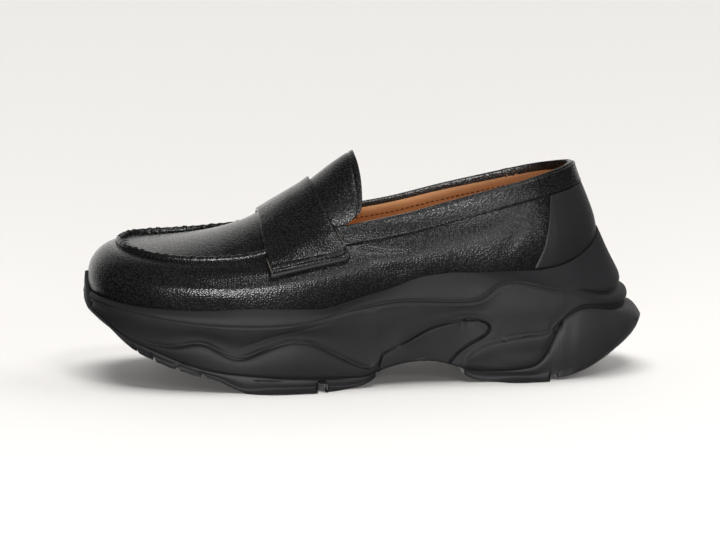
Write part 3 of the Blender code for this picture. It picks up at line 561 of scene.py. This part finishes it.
side_relief(midsole, (
    (SOFT_RIDGE, lambda d, t: 0.4 * bump_of(d, 1.1) * ends_fade(t, 0.3, 0.15)),
    (FAINT_CREASE, lambda d, t: -0.3 * bump_of(d, 0.6) * ends_fade(t, 0.2, 0.3)),
    (WAVE, lambda d, t: -0.8 * bump_of(d, 0.9) * ends_fade(t, 0.25, 0.05)),
    (LONG_RIDGE, double_ridge),
    (REAR_GROOVE, lambda d, t: -0.7 * bump_of(d, 0.6) * ends_fade(t, 0.15, 0.15)),
    (ARCH_PANEL, panel_gap),
    (HEEL_BULGE, heel_swelling),
))
finish_piece(midsole, SOLE, "sole_rubber", "midsole", angle=60)

# The toe guard's tip leans a little towards the leather and is blunted above BLUNT_FROM.
BLUNT_FROM = 50
front_tread = from_node("outsole_front", "front_tread_rubber", sharp=35, hold=0.7)
points = points_of(front_tread)
guard = ease(points[:, 2], 44, 52) * (points[:, 0] < 12)
points[:, 0] += 1.1 * guard
blunted = np.minimum(points[:, 2], BLUNT_FROM + (points[:, 2] - BLUNT_FROM) * 0.82)
points[:, 2] = np.where(guard > 0, blunted, points[:, 2])
put(front_tread, points)
finish_piece(front_tread, TREAD, "tread_rubber", "outsole_front", angle=50)
heel_tread = from_node("outsole_heel", "heel_tread_rubber", sharp=60, hold=0.7)
points, normals = points_of(heel_tread), normals_of(heel_tread)
length, side, height = points.T
even = (np.abs(side) > 16) & (np.abs(normals[:, 2]) < 0.8) & (height > 6) & (height < 34)
even &= (length > 250) & (length < 275)
even_out(heel_tread, even, 0.5, 20)
finish_piece(heel_tread, TREAD, "tread_rubber", "outsole_heel", angle=50)

# The upper.

COLLAR_EDGE = ((133, -36.5, 84.5), (156, -33.5, 89.8), (180, -32, 94.2), (204, -30.5, 100),
               (228, -29, 105.8), (248, -26.5, 110.5), (263, -21.5, 114.2), (273, -14.5, 116.4),
               (278.5, -7.2, 117.9), (280.5, 0, 118.4), (278.5, 7.2, 117.9), (273, 14.5, 116.4),
               (263, 21.5, 114.2), (248, 26, 110.8), (228, 28.5, 106.3), (204, 30, 101), (180, 31, 95.2),
               (156, 31.5, 91), (133, 33, 86.5))
APRON_EDGE = ((112, -38.5, 76.5), (92, -39, 71.5), (72, -38, 70), (55, -35.5, 70.2), (41, -31, 71.3),
              (29.5, -22.5, 73), (22.5, -12, 74.5), (19.5, 2, 75.5), (22.5, 16, 75.8), (29.5, 25, 76),
              (41, 29.5, 76), (55, 31.5, 76.2), (72, 32.5, 77), (92, 33, 79), (112, 33.5, 82.5))

apron_path = smooth_path(APRON_EDGE, 0.5)
apron_length = np.concatenate([[0], np.cumsum(np.linalg.norm(np.diff(apron_path, axis=0), axis=1))])
PUCKER_PITCH = 5.2


def below_collar(points):
    """How far each point lies below the collar's edge."""
    return np.array([collar_path[collar_tree.find((p[0], p[1], 0))[1], 2] - p[2] for p in points])


collar_path = smooth_path(COLLAR_EDGE, 2.0)
collar_tree = KDTree(len(collar_path))
for number, spot in enumerate(collar_path):
    collar_tree.insert((spot[0], spot[1], 0), number)
collar_tree.balance()

upper = from_node("upper", "upper_leather", sharp=55, hold=0.75)

# The vamp is gathered into the apron seam: the wall near the seam is cut finer and puckered.
centres, normals = centres_of(upper)
away, _ = from_line(centres[:, :2], apron_path[:, :2])
near_seam = (np.abs(away) < 11) & (centres[:, 2] > 62) & (centres[:, 0] < 116) & (normals[:, 2] > -0.2)
cut_finer(upper, near_seam, 1)
points, normals = points_of(upper), normals_of(upper)
away, along = from_line(points[:, :2], apron_path[:, :2])
outside = -away
travelled = along * apron_length[-1]
last = len(apron_path) - 1
top = apron_path[np.clip((along * last).astype(int), 0, last), 2]
near_top = (points[:, 2] > top - 13) & (normals[:, 2] > -0.1)
pucker = np.cos(travelled * 2 * math.pi / PUCKER_PITCH)
uneven = 0.75 + 0.25 * np.sin(travelled * 0.37 + 1.3)
reach = ease(outside, 0.2, 1.4) * (1 - ease(outside, 2.4, 8.5))
pleat = 1 - 2 * (0.5 - 0.5 * pucker) ** 3
PLEAT_DEPTH = 0.85
put(upper, points + normals * (PLEAT_DEPTH * pleat * uneven * reach * near_top)[:, None])

# Soft folds of a shoe that has been tried on: behind the strap, under the collar and low on the vamp.
# Each row holds the fold's line, its rise and its width.
FOLDS = (
    (((147, 83), (155, 79.5), (165, 77.5), (178, 77.5), (190, 79)), -0.75, 2.4),
    (((148, 77), (157, 73.5), (170, 71.5), (184, 72)), 0.45, 3.0),
    (((150, 70), (162, 66), (176, 64.5), (188, 66)), -0.4, 3.0),
    (((200, 84), (214, 87), (228, 91), (240, 96)), -0.45, 3.2),
    (((64, 63), (82, 60.5), (100, 60.5), (116, 62)), -0.35, 3.0),
    (((46, 58), (60, 54.5), (78, 53), (96, 53)), 0.4, 3.5),
    (((232, 70), (240, 77), (245, 85), (248, 94)), -0.3, 3.0),
)


def soft_fold(rise, width):
    """The shape of a fold that fades out towards both ends."""
    return lambda away, along: rise * bump_of(away, width) * ends_fade(along, 0.35, 0.35)


side_relief(upper, [(line, soft_fold(rise, width)) for line, rise, width in FOLDS])

centres, normals = centres_of(upper)
faces_in = (normals[:, :2] * towards_middle(centres)).sum(1) > 0.15
behind = centres[:, 0] > 118
under_apron = (normals[:, 2] < -0.3) & (centres[:, 2] > 55)
outer_edge = np.array(APRON_EDGE[7::-1])
apron_height = np.interp(centres[:, 0], outer_edge[:, 0], outer_edge[:, 2])
lined = (faces_in & behind & (below_collar(centres) > 3.6)) | (
    (faces_in | under_apron) & ~behind & (centres[:, 2] < apron_height - 3.5) & (normals[:, 2] < 0.3))
lining = split_off(upper, lined, "upper_lining")
finish_piece(lining, LINING, "lining_leather")
finish_piece(upper, GRAINED, "grained_leather", "upper", angle=60)

# The apron seam: a standing roll, whipped over with thread.
ROLL_WIDTH, ROLL_HEIGHT = 1.55, 2.0
inward = towards_middle(apron_path)
seam_fade = 1 - ease(apron_path[:, 0], 104, 113)
roll_middle = apron_path.copy()
roll_middle[:, :2] += inward * 1.2
roll_middle[:, 2] += 1.3 * seam_fade - 0.6 * (1 - seam_fade)


def tube(name, middle, wide, high, sides=14, lumps=None):
    """A closed tube along a path, its section set upright on it."""
    bpy.ops.object.select_all(action="DESELECT")
    bpy.ops.mesh.primitive_circle_add(vertices=sides, radius=0.001, fill_type="NOTHING")
    ring = bpy.context.object
    ring.name = ring.data.name = name
    bpy.ops.object.mode_set(mode="EDIT")
    for _ in range(len(middle) - 1):
        bpy.ops.mesh.extrude_edges_move(TRANSFORM_OT_translate={"value": (0, 0, 0.001)})
    leave()
    ahead = np.gradient(middle, axis=0)
    ahead /= np.linalg.norm(ahead, axis=1, keepdims=True)
    level = np.cross(ahead, (0, 0, 1.0))
    level /= np.linalg.norm(level, axis=1, keepdims=True)
    rise = np.cross(level, ahead)
    turn = np.linspace(0, 2 * math.pi, sides, endpoint=False)
    swell = np.ones(len(middle)) if lumps is None else lumps
    places = []
    for k in range(len(middle)):
        section = np.cos(turn)[:, None] * level[k] * wide + np.sin(turn)[:, None] * rise[k] * high
        places.append(middle[k] + section * swell[k])
    put(ring, np.vstack(places))
    bpy.ops.object.mode_set(mode="EDIT")
    bpy.ops.mesh.select_all(action="SELECT")
    bpy.ops.mesh.fill_holes(sides=0)
    bpy.ops.mesh.normals_make_consistent(inside=False)
    leave()
    return ring


every_other = slice(None, None, 2)
lumps = 1 + 0.04 * np.cos(apron_length * 2 * math.pi / PUCKER_PITCH) + 0.03 * np.sin(apron_length * 1.9)
lumps *= 0.25 + 0.75 * seam_fade
roll = tube("apron_seam_roll", roll_middle[every_other], ROLL_WIDTH, ROLL_HEIGHT, lumps=lumps[every_other])
finish_piece(roll, GRAINED, "grained_leather")
held = seam_fade > 0.9
up = np.array((0.0, 0.0, 1.0))
whip_runs = []
for side in (-1, 1):
    level = np.column_stack([inward[held] * side, np.zeros(held.sum())])
    whip_runs.append((roll_middle[held] + level * ROLL_WIDTH * 0.92 + up * 0.1, level * 0.85 + up * 0.5))
sew("apron_whip_stitches", stitch_shape(2.5, 0.7, 0.45), whip_runs, PUCKER_PITCH / 2, BLACK_THREAD,
    "grained_leather", sink=0.15, slant=1.1)

# The tongue is an arch about this side and height. Its rear edge is given by the turn round the arch,
# from 0 at the top to 1 at the foot, and the length there.
TONGUE_MIDDLE = (-1.7, 84)
TONGUE_REAR = ((0.0, 153.8), (0.14, 154.0), (0.38, 155.6), (0.64, 156.8), (0.8, 156.2), (0.92, 151.5),
               (1.0, 145.5))


def arch_turn(points):
    """How far round the arch of the tongue each point lies, from 0 at the top to 1 at the foot."""
    side, height = points[:, 1] - TONGUE_MIDDLE[0], points[:, 2] - TONGUE_MIDDLE[1]
    return np.abs(np.arctan2(side, height)) / (math.pi / 2)


def tongue_edge(points):
    """How far each point lies in front of the tongue's rear edge."""
    return np.interp(arch_turn(points), *zip(*TONGUE_REAR)) - points[:, 0]


tongue = from_node("tongue", "tongue_leather", hold=0.8)
points = points_of(tongue)
points[:, 0] -= 4.5 * ease(arch_turn(points), 0.72, 0.97) * ease(points[:, 0], 138, 152)
put(tongue, points)
centres, normals = centres_of(tongue)
arch_out = centres - (0, *TONGUE_MIDDLE)
arch_out[:, 0] = 0
arch_out /= np.linalg.norm(arch_out, axis=1, keepdims=True)
tongue_lining = split_off(tongue, (normals * arch_out).sum(1) < -0.4, "tongue_lining")
finish_piece(tongue_lining, LINING, "lining_leather")
centres, normals = centres_of(tongue)
cut_finer(tongue, (centres[:, 0] > 141) & (normals[:, 2] > -0.2), 2)
points, normals = points_of(tongue), normals_of(tongue)
inset = tongue_edge(points)
outward_faces = ease(normals[:, 2], 0.0, 0.3) + ease(np.abs(normals[:, 1]), 0.5, 0.8)
put(tongue, points + normals * (-0.4 * bump_of(inset - 2.6, 0.5) * np.clip(outward_faces, 0, 1))[:, None])
finish_piece(tongue, GRAINED, "grained_leather", "tongue", angle=60)

# The strap's foot is folded up and sewn: a welt at the edge, a groove, then a raised sewn ridge.
STRAP_FOOT = ((96, 62.3), (103, 63.5), (125, 67.3), (147.4, 71.1), (153, 72.1))
strap = from_node("saddle_strap", "saddle_strap_leather", hold=0.6)
centres, normals = centres_of(strap)
away, _ = from_line(centres[:, [0, 2]], smooth_path(STRAP_FOOT))
cut_finer(strap, (np.abs(away) < 9) & (np.abs(centres[:, 1]) > 30), 2)
points, normals = points_of(strap), normals_of(strap)
away, _ = from_line(points[:, [0, 2]], smooth_path(STRAP_FOOT))
faces_out = -(normals[:, :2] * towards_middle(points)).sum(1) > 0.3
edge_room = ease(points[:, 0], 103.5, 106) * (1 - ease(points[:, 0], 142.5, 146))
hem = (-0.5 * bump_of(away - 2.7, 0.5) - 0.4 * bump_of(away - 6.4, 0.5)) * edge_room
put(strap, points + normals * (hem * faces_out * (np.abs(points[:, 1]) > 30))[:, None])
STRAP_WRINKLES = (((108, 84), (115, 88), (124, 91), (132, 92.5)),
                  ((112, 80.5), (119, 84), (128, 86.5), (136, 87)),
                  ((118, 92), (125, 96), (134, 98)),
                  ((107, 78), (112, 79.5), (120, 82)))


def wrinkle(away, along):
    """A fine trough with a low swelling beside it."""
    return (-0.22 * bump_of(away, 0.8) + 0.1 * bump_of(away + 1.7, 1.0)) * ends_fade(along, 0.35, 0.35)


refine(strap, STRAP_WRINKLES, 2.2)
side_relief(strap, [(line, wrinkle) for line in STRAP_WRINKLES])
finish_piece(strap, GRAINED, "grained_leather", "saddle_strap", angle=60)

strap_skin = skin_of(strap)
STRAP_FRONT = ((99.9, 81), (100.6, 77), (101.8, 72), (103.2, 68), (104.2, 65.6))
STRAP_REAR = ((145.6, 78.6), (144.3, 81), (141.5, 86))
HEM_WELT = ((103.2, 64.9), (104.5, 64.7), (125, 68.5), (145.2, 72.1), (146.2, 73))
HEM_RIDGE = ((104.2, 67.9), (125, 71.6), (143.4, 74.8), (145, 76), (145.2, 77.6))
for side, word in SIDES:
    laid, _ = drop(strap_skin, smooth_path(HEM_WELT, 1.0), side)
    welt = tube(f"strap_hem_welt_{word}", laid, 0.75, 1.15, sides=10)
    finish_piece(welt, SMOOTHER, "grained_leather")
    for place, line in (("front", STRAP_FRONT), ("rear", STRAP_REAR)):
        laid, _ = drop(strap_skin, smooth_path(line, 1.0), side)
        edge = tube(f"strap_{place}_edge_{word}", laid, 0.3, 0.3, sides=8)
        finish_piece(edge, CUT_EDGE, "grained_leather")
    laid, _ = drop(strap_skin, smooth_path(HEM_RIDGE, 1.0), side)
    ridge = tube(f"strap_hem_fold_{word}", laid, 0.65, 1.25, sides=10)
    finish_piece(ridge, GRAINED, "grained_leather")

band = from_node("collar_band", "collar_band_leather", hold=0.85)


# Where the band's front end lies, and the most that a corner moves sideways to stay on the leather.
BAND_FRONT = 141
LARGEST_SIDE_STEP = 3


def slide_forward(piece, skin, start, distance):
    """Stretches a piece's front end along the shoe, so that it tucks under the strap along the leather."""
    points = points_of(piece)
    for number in np.nonzero(points[:, 0] < start)[0]:
        spot = points[number]
        side = OUTER if spot[1] < 0 else INNER
        moved = spot - ((start - spot[0]) / (start - BAND_FRONT) * distance, 0, 0)
        before, _ = drop(skin, [spot[[0, 2]]], side)
        after, _ = drop(skin, [moved[[0, 2]]], side)
        if len(before) and len(after) and abs(after[0][1] - before[0][1]) < LARGEST_SIDE_STEP:
            moved[1] += after[0][1] - before[0][1]
        points[number] = moved
    put(piece, points)


slide_forward(band, skin_of(upper), 168, 7.5)
finish_piece(band, GRAINED, "grained_leather", "collar_band", angle=60)
counter = from_node("heel_counter", "heel_counter_leather", hold=0.85)
finish_piece(counter, SMOOTHER, "smooth_leather", "heel_counter", angle=60)
insole = from_node("insole", "insole_leather", hold=0.6)
finish_piece(insole, LINING, "lining_leather", "insole", angle=60)

# Sewing.

HEM_STITCH = ((105.5, 68.1), (125, 71.6), (143.4, 74.8))
COUNTER_SEAM = ((261.6, 105), (260.9, 97.6), (259.8, 83.3), (257.2, 71.7), (254.6, 64.5))
# How far below the collar's edge the two rows of stitches run.
BAND_ROW_DEPTH, LINING_ROW_DEPTH = 9.6, 9.0
band_skin, counter_skin, lining_skin = skin_of(band), skin_of(counter), skin_of(lining)
hem_runs = [drop(strap_skin, smooth_path(HEM_STITCH), side) for side, _ in SIDES]
sew("strap_hem_stitches", stitch_shape(1.9, 0.65, 0.6), hem_runs, 2.5, BLACK_THREAD, "grained_leather",
    sink=-0.75)
band_foot = collar_path[collar_path[:, 0] > 158] - (0, 0, BAND_ROW_DEPTH)
sew("collar_band_stitches", stitch_shape(1.9, 0.55, 0.5), [close_in(band_skin, band_foot)], 2.6, BLACK_THREAD,
    "grained_leather")
counter_line = smooth_path(COUNTER_SEAM) + (1.6, 0)
counter_runs = [drop(counter_skin, counter_line, side) for side, _ in SIDES]
sew("heel_counter_stitches", stitch_shape(1.9, 0.5, 0.45), counter_runs, 2.6, BLACK_THREAD, "smooth_leather")
sewn = (collar_path[:, 0] > 140) & (collar_path[:, 0] < 272)
lining_runs = []
for side, _ in SIDES:
    row = collar_path[(collar_path[:, 1] * side > 2) & sewn] - (0, 0, LINING_ROW_DEPTH)
    lining_runs.append(press_out(lining_skin, row))
sew("lining_stitches", stitch_shape(2.2, 0.85, 0.6), lining_runs, 3.0, BROWN_THREAD, "lining_leather")

# Floor, lights and camera.

choose(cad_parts["upper"])
bpy.ops.object.select_all(action="DESELECT")
bpy.ops.mesh.primitive_plane_add(size=14, location=(0, 3, 0))
floor = bpy.context.object
floor.name = "studio_floor"
bpy.ops.object.transform_apply(location=True, rotation=True, scale=True)
paper = Finish("pale studio paper")
floor.data.materials.append(paper.set(Base_Color=(0.80, 0.78, 0.755), Roughness=0.9))


def softbox(name, place, aim, width, height, power):
    """A rectangular light, which the camera does not see."""
    light = bpy.data.lights.new(name, "AREA")
    light.shape = "RECTANGLE"
    light.size, light.size_y = width, height
    light.energy = power
    lamp = bpy.data.objects.new(name, light)
    bpy.context.scene.collection.objects.link(lamp)
    lamp.location = place
    lamp.rotation_euler = (Vector(aim) - Vector(place)).to_track_quat("-Z", "Y").to_euler()
    lamp.visible_camera = False


def soft_sun(name, energy, spread, turn):
    """A wide light from far away that lights the room but is not mirrored in the leather."""
    light = bpy.data.lights.new(name, "SUN")
    light.energy = energy
    light.angle = math.radians(spread)
    lamp = bpy.data.objects.new(name, light)
    bpy.context.scene.collection.objects.link(lamp)
    lamp.rotation_euler = [math.radians(a) for a in turn]
    lamp.visible_glossy = False


soft_sun("ceiling light", 2.15, 42, (-3, -2, 0))
soft_sun("right fill", 1.25, 60, (-14, 60, 0))
soft_sun("left fill", 0.35, 60, (-10, -58, 0))
VAMP, COLLAR = (0, 0, 0.05), (0, 0, 0.08)
softbox("low front strip", (-0.14, -1.5, 0.17), VAMP, 0.5, 0.1, 15)
softbox("right front softbox", (0.62, -1.4, 0.72), COLLAR, 0.26, 0.3, 2.4)
softbox("strap softbox", (0.30, -0.75, 1.35), COLLAR, 0.4, 0.24, 4)
floor.visible_glossy = False

# The room is dark in front and has a bright wall behind the shoe.
WALL_BRIGHTNESS = 1.35
world = bpy.data.worlds.new("studio room")
world.use_nodes = True
room = world.node_tree
background = room.nodes["Background"]
look = room.nodes.new("ShaderNodeTexCoord")
parts = room.nodes.new("ShaderNodeSeparateXYZ")
wall = room.nodes.new("ShaderNodeValToRGB")
shift = room.nodes.new("ShaderNodeMath")
shift.operation = "MULTIPLY_ADD"
shift.inputs[1].default_value = 0.5
shift.inputs[2].default_value = 0.5
dark, bright = wall.color_ramp.elements
dark.position, dark.color = 0.74, (0.012, 0.012, 0.013, 1)
bright.position, bright.color = 0.985, (1.0, 0.985, 0.97, 1)
room.links.new(look.outputs["Generated"], parts.inputs[0])
room.links.new(parts.outputs["Y"], shift.inputs[0])
room.links.new(shift.outputs[0], wall.inputs[0])
room.links.new(wall.outputs[0], background.inputs["Color"])
background.inputs["Strength"].default_value = WALL_BRIGHTNESS
bpy.context.scene.world = world
bpy.context.scene.view_settings.view_transform = "Standard"

LENS, SENSOR_WIDTH = 157.2, 36
CAMERA_PLACE = Vector((-0.1876, -1.7607, 0.3701))
CAMERA_AIM = Vector((-0.00225, 0.0022, 0.0575))
camera_data = bpy.data.cameras.new("photo camera")
camera_data.lens = LENS
camera_data.sensor_width = SENSOR_WIDTH
camera_data.clip_end = 30
camera = bpy.data.objects.new("photo camera", camera_data)
bpy.context.scene.collection.objects.link(camera)
camera.location = CAMERA_PLACE
camera.rotation_euler = (CAMERA_AIM - CAMERA_PLACE).to_track_quat("-Z", "Y").to_euler()
bpy.context.scene.camera = camera
